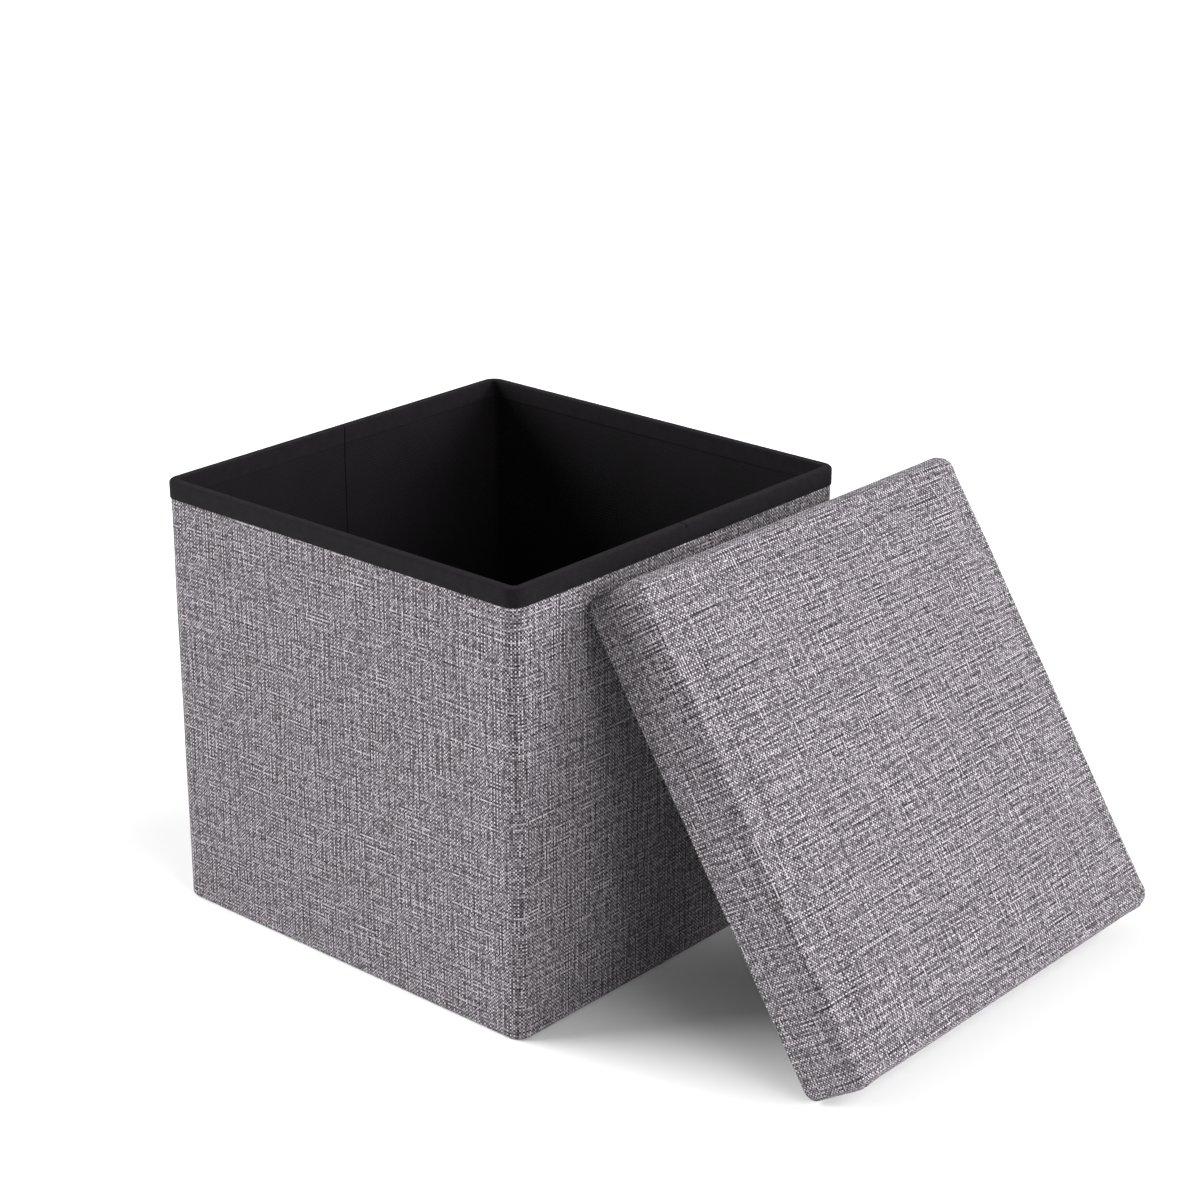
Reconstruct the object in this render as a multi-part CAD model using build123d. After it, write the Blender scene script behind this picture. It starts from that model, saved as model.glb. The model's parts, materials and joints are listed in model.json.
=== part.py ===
"""Folding storage ottoman: a linen-covered cube of hinged boards, a loose base board and a padded lid.

The part's frame has its origin on the floor at the middle of the box's footprint. +Z is up, the rigid
front wall faces -Y, and the lid stands against the +X wall. Lengths are in millimetres.
"""
from build123d import *
import math
import os

# ---------------------------------------------------------------- driving dimensions
box_width = 320.0          # across X, over the linen
box_depth = 320.0          # across Y, over the linen
box_height = 308.0         # floor to the top of the rim
corner_radius = 10.0       # vertical corners, over the linen

board_t = 4.0              # fibreboard in every wall
linen_t = 1.2              # outer cover
lining_t = 0.8             # black inner cover
binding_t = 0.5            # twill tape bound over the rim
binding_height = 12.3      # how far the tape comes down each face
hem_height = 7.2           # soft lower edge of the walls that fold

fold_gap = 1.6             # cloth hinge between a side wall and the wall it turns against
crease_gap = 1.0           # cloth hinge between the two halves of a side wall
crease_offset = 1.0        # how far the crease line lies outside the linen

sheet_t = 1.0              # non-woven bottom sheet
sheet_margin = 0.5         # sheet edge to the inside of the walls
base_lift_gap = 0.3        # sheet to the loose base
base_board_t = 3.2
base_wrap_t = 0.6
base_clearance = 2.0       # loose base to the inside of the walls
tab_width = 25.0           # webbing pull tab on the base
tab_length = 70.0
tab_t = 0.8
tab_offset = 85.0          # middle of the tab, towards the front wall

lid_overhang = 9.0         # lid past the box on each side
lid_height = 44.0
lid_edge_radius = 12.0     # top edges and corners of the cushion
lid_board_t = 5.0
lid_wrap_width = 16.0      # linen turned under the lid board
thread_d = 1.0             # seam thread round the lid's underside
thread_room = 1.6          # width of the groove that the thread lies in
thread_depth = 1.3         # depth of the groove, and thickness of what lies under the lid board
staple_crown = 10.0        # staples that hold the dust cover to the lid board
staple_wire = 0.6
staple_leg = 5.0
staple_inset = 5.0         # row of staples to the edge of the dust cover
staples_per_side = 7

lean_angle = 33.0          # lid from upright as it leans on the box
lean_gap = 0.3             # lid to the wall that it leans on
lean_shift = 70.0          # lid's middle past the box's middle, towards the back
closed_gap = 0.4           # lid to the rim when it is on the box

# ---------------------------------------------------------------- derived sizes
half_w = box_width / 2
half_d = box_depth / 2
wall_t = linen_t + board_t + lining_t
inner_w = half_w - wall_t
inner_d = half_d - wall_t
cloth_top = box_height - binding_t

base_bottom = sheet_t + base_lift_gap
base_top = base_bottom + 2 * base_wrap_t + base_board_t
base_half_w = inner_w - base_clearance
base_half_d = inner_d - base_clearance

lid_half_x = half_w + lid_overhang
lid_half_y = half_d + lid_overhang
groove_x = lid_half_x - lid_wrap_width - thread_room / 2
groove_y = lid_half_y - lid_wrap_width - thread_room / 2
dust_half_x = groove_x - thread_room / 2
dust_half_y = groove_y - thread_room / 2

lean = math.radians(lean_angle)
lean_height = min(2 * lid_half_x * math.cos(lean), box_height)
foot_x = half_w + binding_t + lean_gap + lean_height * math.tan(lean)

thread_total = 2 * groove_y - lean_shift - thread_room
thread_gap = 0.5


# ---------------------------------------------------------------- helpers
def block(x, y, z):
    """A box between two limits on each axis."""
    size = [hi - lo for lo, hi in (x, y, z)]
    middle = [(hi + lo) / 2 for lo, hi in (x, y, z)]
    return Pos(*middle) * Box(*size)


def span(sign, near, far):
    """Limits on one axis for a piece that lies from near to far on the given side of the middle."""
    return tuple(sorted((sign * near, sign * far)))


def rounded_prism(grow, z):
    """The outline of the box over the linen, grown or shrunk, as a tall prism with round corners."""
    outline = RectangleRounded(2 * (half_w + grow), 2 * (half_d + grow), corner_radius + grow)
    return Pos(0, 0, z[0]) * extrude(outline, z[1] - z[0])


def save(name, shape):
    shape.label = name
    export_step(shape, os.path.join("parts", name + ".step"))


# ---------------------------------------------------------------- walls
def full_wall(sign, bottom):
    """The front (-1) or back (+1) wall: board, linen round its ends, lining and rim tape."""
    z = (bottom, cloth_top)
    skin = block((-half_w, half_w), span(sign, inner_d, half_d), z) & rounded_prism(0, z)
    board_z = (bottom + linen_t, cloth_top)
    board_y = span(sign, half_d - linen_t - board_t, half_d - linen_t)
    board = block((-half_w, half_w), board_y, board_z) & rounded_prism(-linen_t, board_z)
    lining = block((-inner_w, inner_w), span(sign, inner_d, inner_d + lining_t), z)
    tape_z = (box_height - binding_height, box_height)
    tape_y = span(sign, inner_d - binding_t, half_d + binding_t)
    tape = block((-half_w - binding_t, half_w + binding_t), tape_y, tape_z)
    tape = (tape & rounded_prism(binding_t, tape_z)) - skin
    return {"board": board, "linen": skin - board - lining, "lining": lining, "binding": tape}


def half_wall(side, end):
    """Half of a side wall: side is -1 left or +1 right, end is -1 front or +1 rear."""
    y = span(end, crease_gap / 2, inner_d - fold_gap)
    z = (hem_height, cloth_top)
    linen = block(span(side, half_w - linen_t, half_w), y, z) & rounded_prism(0, z)
    board = block(span(side, inner_w + lining_t, half_w - linen_t), y, z)
    lining = block(span(side, inner_w, inner_w + lining_t), y, z)
    tape_z = (box_height - binding_height, box_height)
    tape = block(span(side, inner_w - binding_t, half_w + binding_t), y, tape_z)
    tape = (tape & rounded_prism(binding_t, tape_z)) - block(span(side, inner_w, half_w), y, z)
    hem_z = (0, hem_height)
    hem = block(span(side, inner_w, half_w), y, hem_z) & rounded_prism(0, hem_z)
    return {"board": board, "linen": linen, "lining": lining, "binding": tape, "hem": hem}


def walls():
    pieces = {}
    for part, shape in full_wall(-1, 0).items():
        pieces["front_" + part] = shape
    for part, shape in full_wall(1, hem_height).items():
        pieces["back_" + part] = shape
    hem_z = (0, hem_height)
    back_hem = block((-half_w, half_w), span(1, inner_d, half_d), hem_z)
    pieces["back_hem"] = back_hem & rounded_prism(0, hem_z)
    for side, side_name in ((1, "right"), (-1, "left")):
        for end, end_name in ((-1, "front"), (1, "rear")):
            for part, shape in half_wall(side, end).items():
                pieces["_".join((side_name, end_name, part))] = shape
    return pieces


# ---------------------------------------------------------------- bottom sheet and loose base
def bottom():
    sheet_x = inner_w - sheet_margin
    sheet = block((-sheet_x, sheet_x), (-inner_d, inner_d - sheet_margin), (0, sheet_t))
    wrap = block((-base_half_w, base_half_w), (-base_half_d, base_half_d), (base_bottom, base_top))
    board_x = base_half_w - base_wrap_t
    board_y = base_half_d - base_wrap_t
    board_z = (base_bottom + base_wrap_t, base_top - base_wrap_t)
    board = block((-board_x, board_x), (-board_y, board_y), board_z)
    tab = extrude(SlotOverall(tab_length, tab_width, rotation=90), tab_t)
    tab = Pos(0, -tab_offset, base_top) * tab
    return {"bottom_sheet": sheet, "base_board": board, "base_wrap": wrap - board, "base_pull_tab": tab}


# ---------------------------------------------------------------- lid, lying closed with its underside at z = 0
def staples():
    """A row of staples along each side of the dust cover, crowns flush with its face and legs up."""
    low = (Align.CENTER, Align.CENTER, Align.MIN)
    crown = Box(staple_crown, staple_wire, staple_wire, align=low)
    leg = Box(staple_wire, staple_wire, staple_leg, align=low)
    leg_x = (staple_crown - staple_wire) / 2
    staple = crown + Pos(leg_x, 0, 0) * leg + Pos(-leg_x, 0, 0) * leg
    rows = []
    for i in range(staples_per_side):
        step = (2 * i + 1) / staples_per_side - 1
        for side in (-1, 1):
            rows.append(Pos(step * dust_half_x, side * (dust_half_y - staple_inset), 0) * staple)
            across = Pos(side * (dust_half_x - staple_inset), step * dust_half_y, 0)
            rows.append(across * Rot(0, 0, 90) * staple)
    return rows


def lid():
    size = (2 * lid_half_x, 2 * lid_half_y)
    cushion = extrude(RectangleRounded(*size, lid_edge_radius), lid_height)
    cushion = fillet(cushion.edges().group_by(Axis.Z)[-1], lid_edge_radius - linen_t)
    board_x = lid_half_x - linen_t
    board_y = lid_half_y - linen_t
    core_corner = lid_edge_radius - linen_t
    core_outline = RectangleRounded(2 * board_x, 2 * board_y, core_corner)
    board_top = thread_depth + lid_board_t
    board = Pos(0, 0, thread_depth) * extrude(core_outline, lid_board_t)
    foam = Pos(0, 0, board_top) * extrude(core_outline, lid_height - linen_t - board_top)
    foam = fillet(foam.edges().group_by(Axis.Z)[-1], core_corner - linen_t)
    under = (-thread_depth, thread_depth)
    opening = block((-groove_x - thread_room / 2, groove_x + thread_room / 2),
                    (-groove_y - thread_room / 2, groove_y + thread_room / 2), under)
    linen = cushion - board - foam - opening
    dust_cover = block((-dust_half_x, dust_half_x), (-dust_half_y, dust_half_y), (0, thread_depth))
    fixings = staples()
    pieces = {"lid_board": board - fixings, "lid_foam": foam, "lid_linen": linen,
              "lid_dust_cover": dust_cover - fixings, "lid_staples": Compound(children=fixings)}

    # two lengths of seam thread end to end in the groove along the lid's upper edge as it leans
    start = -groove_y + thread_room / 2
    length = (thread_total - thread_gap) / 2
    for name, low in (("lid_seam_thread_a", start), ("lid_seam_thread_b", start + length + thread_gap)):
        thread = Rot(-90, 0, 0) * Cylinder(thread_d / 2, length, align=(Align.CENTER, Align.CENTER, Align.MIN))
        pieces[name] = Pos(-groove_x, low, thread_depth / 2) * thread
    return pieces


def lean_place():
    """Turns the closed lid up on its +X edge and stands it on the floor against the right wall."""
    foot = Pos(foot_x, lean_shift, 0)
    return foot * Rot(0, 90 - lean_angle, 0) * Pos(-lid_half_x, 0, 0)


# ---------------------------------------------------------------- joint lines
def joint_lines():
    """Where each hinge line passes, as (x, y, z) at rest."""
    thread = lean_place() * Pos(-groove_x, 0, thread_depth / 2)
    x, _, z = thread.position
    closed_x = -groove_x
    closed_z = box_height + closed_gap + thread_depth / 2
    crease_x = half_w + crease_offset
    turn_y = inner_d - fold_gap
    return {
        "fold_right_front": (inner_w, -turn_y, 0),
        "fold_right_crease": (crease_x, 0, 0),
        "fold_back": (inner_w, turn_y, 0),
        "fold_left_front": (-inner_w, -turn_y, 0),
        "fold_left_crease": (-crease_x, 0, 0),
        "lid_swing": ((x + closed_x) / 2, lean_shift, (z + closed_z) / 2),
        "lid_turn": (x, lean_shift, z),
    }


def main():
    os.makedirs("parts", exist_ok=True)
    pieces = {**walls(), **bottom()}
    stand = lean_place()
    for name, shape in lid().items():
        pieces[name] = stand * shape
    for name, shape in pieces.items():
        save(name, shape)
    for name, place in joint_lines().items():
        print(name, [round(value, 4) for value in place])


if __name__ == "__main__":
    main()
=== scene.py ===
"""The looks of a folding storage ottoman: cloth cover, rim tape, lining, loose base, lid and studio."""
import json
import math

import bmesh
import bpy
from mathutils import Matrix, Vector, noise


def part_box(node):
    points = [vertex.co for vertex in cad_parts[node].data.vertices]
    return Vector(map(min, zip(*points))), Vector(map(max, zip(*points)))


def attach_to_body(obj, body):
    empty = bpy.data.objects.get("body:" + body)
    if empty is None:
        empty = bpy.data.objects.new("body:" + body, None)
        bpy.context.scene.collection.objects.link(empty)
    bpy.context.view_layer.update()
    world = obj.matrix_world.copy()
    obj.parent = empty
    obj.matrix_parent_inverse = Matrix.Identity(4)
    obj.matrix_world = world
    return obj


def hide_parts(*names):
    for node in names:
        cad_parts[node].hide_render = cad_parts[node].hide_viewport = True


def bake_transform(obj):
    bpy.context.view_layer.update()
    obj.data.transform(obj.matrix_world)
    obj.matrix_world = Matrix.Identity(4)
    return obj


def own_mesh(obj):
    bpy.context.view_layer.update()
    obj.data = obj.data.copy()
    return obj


bl_info = {
    "name": "Storage Ottoman",
    "version": (1, 0, 0),
    "blender": (4, 5, 0),
    "location": "View3D > Sidebar > Ottoman",
    "description": "Builds the cloth, cushion and finishes of a folding storage ottoman on its boards",
    "category": "Object",
}

# ---------------------------------------------------------------- the boards that everything is built on
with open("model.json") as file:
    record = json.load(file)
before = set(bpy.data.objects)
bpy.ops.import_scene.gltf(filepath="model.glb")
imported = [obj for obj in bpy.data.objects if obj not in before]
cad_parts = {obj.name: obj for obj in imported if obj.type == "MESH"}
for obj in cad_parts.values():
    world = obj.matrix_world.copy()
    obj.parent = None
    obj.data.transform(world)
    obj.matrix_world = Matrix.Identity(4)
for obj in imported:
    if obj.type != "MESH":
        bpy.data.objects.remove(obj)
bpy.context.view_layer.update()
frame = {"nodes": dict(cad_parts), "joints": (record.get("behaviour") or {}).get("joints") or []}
JOINTS = {joint["name"]: joint for joint in frame["joints"]}

HALF_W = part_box("right_front_linen")[1].x
HALF_D = -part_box("front_linen")[0].y
INNER_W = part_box("right_front_lining")[0].x
INNER_D = -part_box("front_lining")[1].y
TAPE_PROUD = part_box("right_front_binding")[1].x - HALF_W
TAPE_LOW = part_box("front_binding")[0].z
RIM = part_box("front_binding")[1].z
HEM_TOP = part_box("right_front_linen")[0].z
WALL = HALF_W - INNER_W
GAP = -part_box("right_front_board")[1].y
PLEAT = GAP * 0.8         # half of the pleat tucked into the gap at a crease
LEAN = math.radians(-JOINTS["lid_turn"]["range_deg"][0] - 90)
SIDES = {"right": 1, "left": -1}


def leaning_slab(node):
    """Length down the slope, thickness and middle of a flat piece that leans with the lid."""
    low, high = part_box(node)
    size = high - low
    across, along = math.sin(LEAN), math.cos(LEAN)
    scale = across * across - along * along
    length = (size.x * across - size.z * along) / scale
    thickness = (size.z * across - size.x * along) / scale
    return length, thickness, (low + high) / 2


LID_BOARD, LID_BOARD_T, LID_BOARD_MIDDLE = leaning_slab("lid_board")
DUST_COVER, DUST_T, _ = leaning_slab("lid_dust_cover")
LID_TURN = Matrix.Rotation(math.pi / 2 - LEAN, 4, "Y")
UNDERSIDE = Matrix.Translation((0, 0, -DUST_T - LID_BOARD_T / 2))
LID_PLACE = Matrix.Translation(LID_BOARD_MIDDLE) @ LID_TURN @ UNDERSIDE
LID_HALF = (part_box("lid_linen")[1].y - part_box("lid_linen")[0].y) / 2


# ---------------------------------------------------------------- what a user would change
def length(name, description, default):
    return bpy.props.FloatProperty(name=name, description=description, default=default, unit="LENGTH")


def colour(name, description, default):
    return bpy.props.FloatVectorProperty(
        name=name, description=description, default=default, subtype="COLOR", size=3)


def strength(name, description, default):
    return bpy.props.FloatProperty(name=name, description=description, default=default, min=0.0)


class OttomanSizes(bpy.types.PropertyGroup):
    cloth: length("Cloth", "Thickness of the linen", 0.0008)
    crease_dip: length("Crease Dip", "How far the cloth sags at a crease", 0.0013)
    cushion_height: length("Cushion Height", "Lid from its underside to the top of its edge", 0.0440)
    cushion_edge: length("Cushion Edge", "Radius of the cushion's top edge before it fills out", 0.0075)
    cushion_swell: length("Cushion Swell", "The most that the cushion may fill out", 0.0045)
    turned_cloth: length("Turned Cloth", "Linen turned under the lid", 0.0165)
    stitch: length("Stitch", "Length of one hand stitch under the lid", 0.0065)


class OttomanColours(bpy.types.PropertyGroup):
    yarn_dark: colour("Dark Yarn", "Charcoal yarn in the linen", (0.011, 0.009, 0.011))
    yarn_mid: colour("Middle Yarn", "Grey mauve yarn in the linen", (0.137, 0.124, 0.138))
    yarn_light: colour("Light Yarn", "Pale yarn in the linen", (0.47, 0.435, 0.475))
    black: colour("Black Cloth", "Tape, lining and wraps", (0.0040, 0.0034, 0.0040))
    board: colour("Fibreboard", "Raw boards", (0.36, 0.24, 0.14))
    foam: colour("Foam", "Lid padding", (0.78, 0.73, 0.58))
    steel: colour("Staples", "Galvanised wire", (0.62, 0.62, 0.60))
    floor: colour("Floor", "Studio floor", (0.86, 0.86, 0.86))


class StudioSetup(bpy.types.PropertyGroup):
    azimuth: bpy.props.FloatProperty(
        name="Azimuth", description="Camera direction round the ottoman", default=math.radians(41.34),
        subtype="ANGLE")
    elevation: bpy.props.FloatProperty(
        name="Elevation", description="Camera height angle", default=math.radians(21.04), subtype="ANGLE")
    distance: bpy.props.FloatProperty(
        name="Distance", description="Camera to the point that it looks at", default=2.093, unit="LENGTH")
    lens: bpy.props.FloatProperty(name="Lens", description="Focal length in millimetres", default=83.8)
    target: bpy.props.FloatVectorProperty(
        name="Target", description="Point that the camera looks at", subtype="TRANSLATION", size=3,
        default=(-0.0638, 0.1714, 0.15))
    left: strength("Left Light", "Strength of the light on the front wall", 2.07)
    right: strength("Right Light", "Strength of the light on the lid", 0.82)
    behind: strength("Rear Light", "Strength of the light from behind the lid", 1.56)
    sky: strength("Sky", "Strength of the white surroundings", 0.42)


def settings():
    return bpy.context.scene.ottoman


# ---------------------------------------------------------------- shader sums
class Value:
    """A shader socket that can be used in Python sums."""

    def __init__(self, shader, socket):
        self.shader = shader
        self.socket = socket

    def sum(self, operation, *others):
        values = dict(enumerate((self, *others)))
        return self.shader.node("ShaderNodeMath", {"operation": operation}, values)

    def __add__(self, other):
        return self.sum("ADD", other)

    def __sub__(self, other):
        return self.sum("SUBTRACT", other)

    def __mul__(self, other):
        return self.sum("MULTIPLY", other)

    def __truediv__(self, other):
        return self.sum("DIVIDE", other)

    def __rsub__(self, other):
        return self.shader.node("ShaderNodeMath", {"operation": "SUBTRACT"}, {0: other, 1: self})

    __radd__ = __add__
    __rmul__ = __mul__

    def whole(self):
        return self.sum("FLOOR")

    def rest(self):
        return self.sum("FRACT")

    def step(self, low, high):
        """0 below low and 1 above high, with a smooth change between."""
        setup = {"interpolation_type": "SMOOTHSTEP"}
        values = {"Value": self, "From Min": low, "From Max": high}
        return self.shader.node("ShaderNodeMapRange", setup, values)


class Shader:
    """One node material. node() adds any node and returns its first output, or the one that is asked for."""

    def __init__(self, name):
        self.material = bpy.data.materials.new(name)
        self.material.use_nodes = True
        self.tree = self.material.node_tree
        self.surface = self.tree.nodes["Principled BSDF"]

    def node(self, kind, setup=None, values=None, output=0):
        made = self.tree.nodes.new(kind)
        for key, value in (setup or {}).items():
            if key == "stops":
                self.set_stops(made.color_ramp, value)
            else:
                setattr(made, key, value)
        for key, value in (values or {}).items():
            self.plug(made.inputs[key], value)
        return Value(self, made.outputs[output])

    def set_stops(self, ramp, stops):
        while len(ramp.elements) < len(stops):
            ramp.elements.new(0.5)
        for element, (place, colour) in zip(ramp.elements, stops):
            element.position = place
            element.color = (*colour, 1)

    def plug(self, socket, value):
        if isinstance(value, Value):
            self.tree.links.new(value.socket, socket)
        else:
            socket.default_value = value

    def finish(self, bump=None, depth=0.0, **values):
        """Plugs values into the surface shader; underscores in names stand for spaces."""
        for key, value in values.items():
            self.plug(self.surface.inputs[key.replace("_", " ")], value)
        if bump is not None:
            normal = self.node("ShaderNodeBump", {}, {"Height": bump, "Distance": depth, "Strength": 1.0})
            self.plug(self.surface.inputs["Normal"], normal)
        return self.material

    def join(self, x, y=0.0, z=0.0):
        return self.node("ShaderNodeCombineXYZ", {}, {"X": x, "Y": y, "Z": z})

    def split(self, vector):
        parts = self.node("ShaderNodeSeparateXYZ", {}, {"Vector": vector})
        node = parts.socket.node
        return [Value(self, socket) for socket in node.outputs]

    def cloth_place(self):
        """Place on the cloth, in metres along and across it."""
        return self.split(self.node("ShaderNodeUVMap", {"uv_map": "cloth"}))[:2]

    def cloud(self, vector, scale, detail=2.0, dimensions="3D", roughness=0.5):
        """Soft noise between 0 and 1."""
        values = {"Vector": vector, "Scale": scale, "Detail": detail, "Roughness": roughness}
        return self.node("ShaderNodeTexNoise", {"noise_dimensions": dimensions}, values)

    def grains(self, vector):
        return self.node("ShaderNodeTexWhiteNoise", {"noise_dimensions": "2D"}, {"Vector": vector})

    def mix(self, share, first, second, blend="MIX"):
        setup = {"data_type": "RGBA", "blend_type": blend, "clamp_factor": True}
        mixed = self.node("ShaderNodeMix", setup, {0: share}, 2)
        self.plug(mixed.socket.node.inputs[6], first)
        self.plug(mixed.socket.node.inputs[7], second)
        return mixed

    def object_place(self):
        return self.node("ShaderNodeTexCoord", {}, {}, 3)


def rgba(colour, scale=1.0):
    return (*[channel * scale for channel in colour], 1.0)


# ---------------------------------------------------------------- finishes
THREAD = 0.00125          # pitch of the linen's threads
SLUB = 0.050              # length over which a yarn's tone changes


def yarn_slubs(s, number, place, seed):
    """How pale one yarn is there, next to its neighbour: each yarn has its own slubs along it."""
    own = s.cloud(s.join(number * 1.618 + seed, place / SLUB), 1.0, 3.0, "2D", 0.55)
    beside = s.cloud(s.join(number * 1.618 + seed + 1.618, place / SLUB), 1.0, 3.0, "2D", 0.55)
    return own - beside


def linen():
    """Plain weave of charcoal, mauve and pale yarns, with slubs that run both ways."""
    colours = settings().colours
    s = Shader("slubby_linen")
    along, up = s.cloth_place()
    bend = s.cloud(s.join(along, up), 7.0, 0.0, "2D") - 0.5
    warp, weft = (along + bend * 0.0022) / THREAD, (up + bend * 0.0022) / THREAD
    warp_no, weft_no = warp.whole(), weft.whole()
    across_warp, across_weft = warp.rest(), weft.rest()
    warp_up = ((warp_no + weft_no) * 0.5).rest().step(0.2, 0.3)
    warp_tone = yarn_slubs(s, warp_no, up, 7.0) * 0.62 + 0.13
    weft_tone = yarn_slubs(s, weft_no, along, 40.0) * 0.75 - 0.13
    fleck = s.grains(s.join(warp_no, weft_no)) - 0.5
    over = weft_tone + (warp_tone - weft_tone) * warp_up
    under = warp_tone + (weft_tone - warp_tone) * warp_up
    tone = over * 0.95 + under * 0.18 + fleck * 0.24 + 0.5
    dark, mid, light = [tuple(yarn) for yarn in (colours.yarn_dark, colours.yarn_mid, colours.yarn_light)]
    stops = [(0.33, dark), (0.52, mid), (0.73, light)]
    yarn = s.node("ShaderNodeValToRGB", {"stops": stops}, {"Fac": tone})
    warp_edge = (across_warp - 0.5).sum("ABSOLUTE") * 2.0
    weft_edge = (across_weft - 0.5).sum("ABSOLUTE") * 2.0
    side = weft_edge + (warp_edge - weft_edge) * warp_up
    end = warp_edge + (weft_edge - warp_edge) * warp_up
    # painted shade: the sides of each thread and the pinholes between threads are darkened towards the dark
    # yarn
    pinhole = warp_edge.step(0.45, 1.0) * weft_edge.step(0.45, 1.0)
    painted_shade = side * side * 0.5 + pinhole * 1.0
    colour = s.mix(painted_shade, yarn, rgba(dark, 0.4))
    height = (1.0 - side * side) * 0.7 + (1.0 - end * end) * 0.3
    return s.finish(height, THREAD * 0.25, Base_Color=colour, Roughness=0.86 + fleck * 0.12,
                    Sheen_Weight=0.05, Sheen_Roughness=0.6, Specular_IOR_Level=0.15)


def twill_tape():
    """Black tape with fine slanting ribs."""
    s = Shader("black_twill_tape")
    along, up = s.cloth_place()
    pitch = 0.0011
    slant = ((along + up * 1.15) / pitch).rest()
    rib = (slant - 0.5).sum("ABSOLUTE") * 2.0
    pick = (((along - up) / (pitch * 0.62)).rest() - 0.5).sum("ABSOLUTE") * 2.0
    wear = s.cloud(s.join(along, up), 160.0, 3.0, "2D")
    black = settings().colours.black
    # painted light and shade: the rib crests and picks are lighter and the grooves between them darker; wear
    # is a random tone
    tone = (1.0 - rib) * 0.5 + pick * 0.2 + wear * 0.5
    colour = s.mix(tone, rgba(black, 0.3), rgba(black, 3.0))
    return s.finish((1.0 - rib) + pick * 0.3, 0.00022, Base_Color=colour, Roughness=0.78 + rib * 0.12,
                    Sheen_Weight=0.01, Sheen_Roughness=0.5, Specular_IOR_Level=0.05)


def nonwoven(name, lift):
    """Pressed fibre cloth with rows of small bonded points."""
    s = Shader(name)
    along, up = s.cloth_place()
    pitch = 0.0022
    row = (up / pitch).whole()
    shift = (row * 0.5).rest()
    across = ((along / pitch + shift).rest() - 0.5) * 2.0
    down = ((up / pitch).rest() - 0.5) * 2.0
    point = 1.0 - (across * across + down * down).step(0.14, 0.42)
    fibres = s.cloud(s.join(along * 3.0, up), 700.0, 3.0, "2D", 0.7)
    drift = s.cloud(s.join(along, up), 22.0, 2.0, "2D")
    black = settings().colours.black
    tone = fibres * 0.55 + drift * 0.35 - point * 0.25
    colour = s.mix(tone, rgba(black, 0.6 * lift), rgba(black, 2.6 * lift))
    return s.finish(fibres * 0.5 - point, 0.00016, Base_Color=colour, Roughness=0.82 - point * 0.2,
                    Sheen_Weight=0.01, Specular_IOR_Level=0.05)


def webbing():
    """Plain woven webbing: ribs across the strap with a herringbone of picks."""
    s = Shader("black_webbing")
    along, up = s.cloth_place()
    rib = (((up / 0.0014).rest()) - 0.5).sum("ABSOLUTE") * 2.0
    zig = ((along / 0.0028).rest() - 0.5).sum("ABSOLUTE")
    pick = (((up / 0.0007) + zig * 2.0).rest() - 0.5).sum("ABSOLUTE") * 2.0
    black = settings().colours.black
    # painted light and shade: the raised parts of the picks and ribs are lighter and the rest darker
    colour = s.mix(pick * 0.6 + rib * 0.3, rgba(black, 0.7), rgba(black, 2.8))
    return s.finish(pick * 0.6 + rib * 0.4, 0.0003, Base_Color=colour, Roughness=0.7 + rib * 0.1,
                    Sheen_Weight=0.01, Specular_IOR_Level=0.08)


def fibreboard():
    """Raw fibreboard: fine mottled fibres with darker pressed flecks."""
    s = Shader("raw_fibreboard")
    place = s.object_place()
    fibres = s.cloud(place, 420.0, 5.0, roughness=0.7)
    clouds = s.cloud(place, 26.0, 3.0)
    flecks = s.cloud(place, 1300.0, 2.0).step(0.62, 0.70)
    board = settings().colours.board
    colour = s.mix(fibres * 0.6 + clouds * 0.5, rgba(board, 0.62), rgba(board, 1.3))
    colour = s.mix(flecks * 0.6, colour, rgba(board, 0.4))
    return s.finish(fibres, 0.00012, Base_Color=colour, Roughness=0.78 + fibres * 0.12,
                    Specular_IOR_Level=0.3)


def foam():
    """Open-cell foam with pores of two sizes."""
    s = Shader("cream_foam")
    place = s.object_place()
    pores = s.node("ShaderNodeTexVoronoi", {"feature": "F1"}, {"Vector": place, "Scale": 900.0})
    large = s.node("ShaderNodeTexVoronoi", {"feature": "F1"}, {"Vector": place, "Scale": 310.0})
    cell = pores.step(0.1, 0.6) * 0.7 + large.step(0.1, 0.7) * 0.3
    cream = settings().colours.foam
    tint = s.cloud(place, 12.0, 2.0)
    # painted shade: the pores are darkened towards their middles, with a random tint over the foam
    colour = s.mix(cell * 0.6 + tint * 0.4, rgba(cream, 0.55), rgba(cream, 1.12))
    return s.finish(cell, 0.0004, Base_Color=colour, Roughness=0.95, Specular_IOR_Level=0.1)


def galvanised_wire():
    """Flat staple wire with a mottled zinc coat."""
    s = Shader("galvanised_wire")
    place = s.object_place()
    spangle = s.cloud(place, 900.0, 3.0)
    steel = settings().colours.steel
    colour = s.mix(spangle, rgba(steel, 0.7), rgba(steel, 1.1))
    return s.finish(spangle, 0.00003, Base_Color=colour, Metallic=1.0, Roughness=0.32 + spangle * 0.2)


def sewing_thread(name, colour):
    """Twisted thread: fine slanting plies."""
    s = Shader(name)
    x, y, z = s.split(s.object_place())
    ply = (((x + y * 0.8 + z) / 0.0006).rest() - 0.5).sum("ABSOLUTE") * 2.0
    fuzz = s.cloud(s.join(x, y, z), 2600.0, 2.0)
    # painted light and shade: the crests of the plies are lighter and the grooves between them darker, with
    # random fuzz
    mixed = s.mix(ply * 0.6 + fuzz * 0.4, rgba(colour, 0.6), rgba(colour, 1.5))
    return s.finish(ply, 0.00008, Base_Color=mixed, Roughness=0.7, Sheen_Weight=0.2)


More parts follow.
